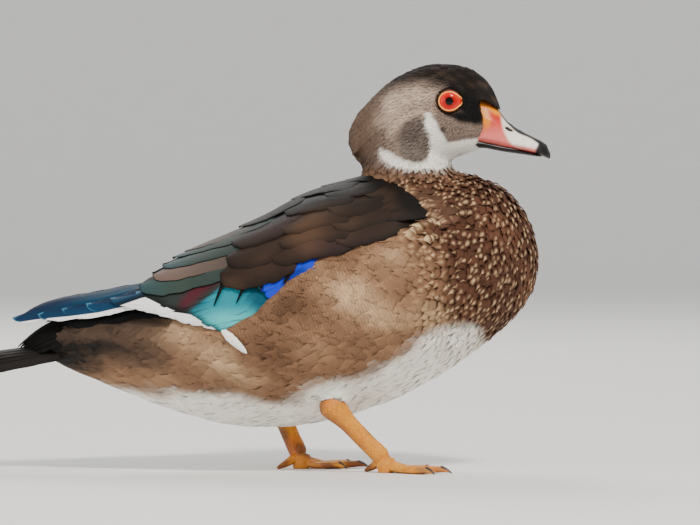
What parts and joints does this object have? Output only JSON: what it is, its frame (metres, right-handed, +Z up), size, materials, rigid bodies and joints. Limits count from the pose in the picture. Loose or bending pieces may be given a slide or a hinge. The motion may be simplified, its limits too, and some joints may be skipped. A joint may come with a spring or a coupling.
{
  "type": "drake wood duck",
  "caption": "Life-size still model of a standing drake wood duck in brown summer plumage, wings folded, head turned forward.",
  "frame": {"origin": "on the floor, under the middle of the whole bird's box", "axes": "+X towards the bill, +Y to the bird's left, +Z up"},
  "size_m": [0.313, 0.1126, 0.2044],
  "materials": {
    "body_feathers": "soft brown feathers, spotted breast, white belly",
    "head_feathers": "close dark feathers with white bars",
    "wing_feathers": "glossy bronze, teal and blue feathers",
    "tail_feathers": "long dark feathers",
    "thigh_feathers": "short white feathers",
    "leg_skin": "scaled yellow skin",
    "bill": "smooth horn, satin",
    "lower_bill": "smooth dark horn, satin",
    "eye": "wet and clear"
  },
  "bodies": {
    "root": {"torso": "body_feathers", "neck": "body_feathers", "head": "head_feathers", "bill_upper": "bill", "bill_lower": "lower_bill", "eye_right": "eye", "eye_left": "eye", "wing_right": "wing_feathers", "wing_left": "wing_feathers", "tail": "tail_feathers", "thigh_right": "thigh_feathers", "thigh_left": "thigh_feathers", "shank_right": "leg_skin", "shank_left": "leg_skin", "foot_right": "leg_skin", "foot_left": "leg_skin"}
  },
  "joints": []
}
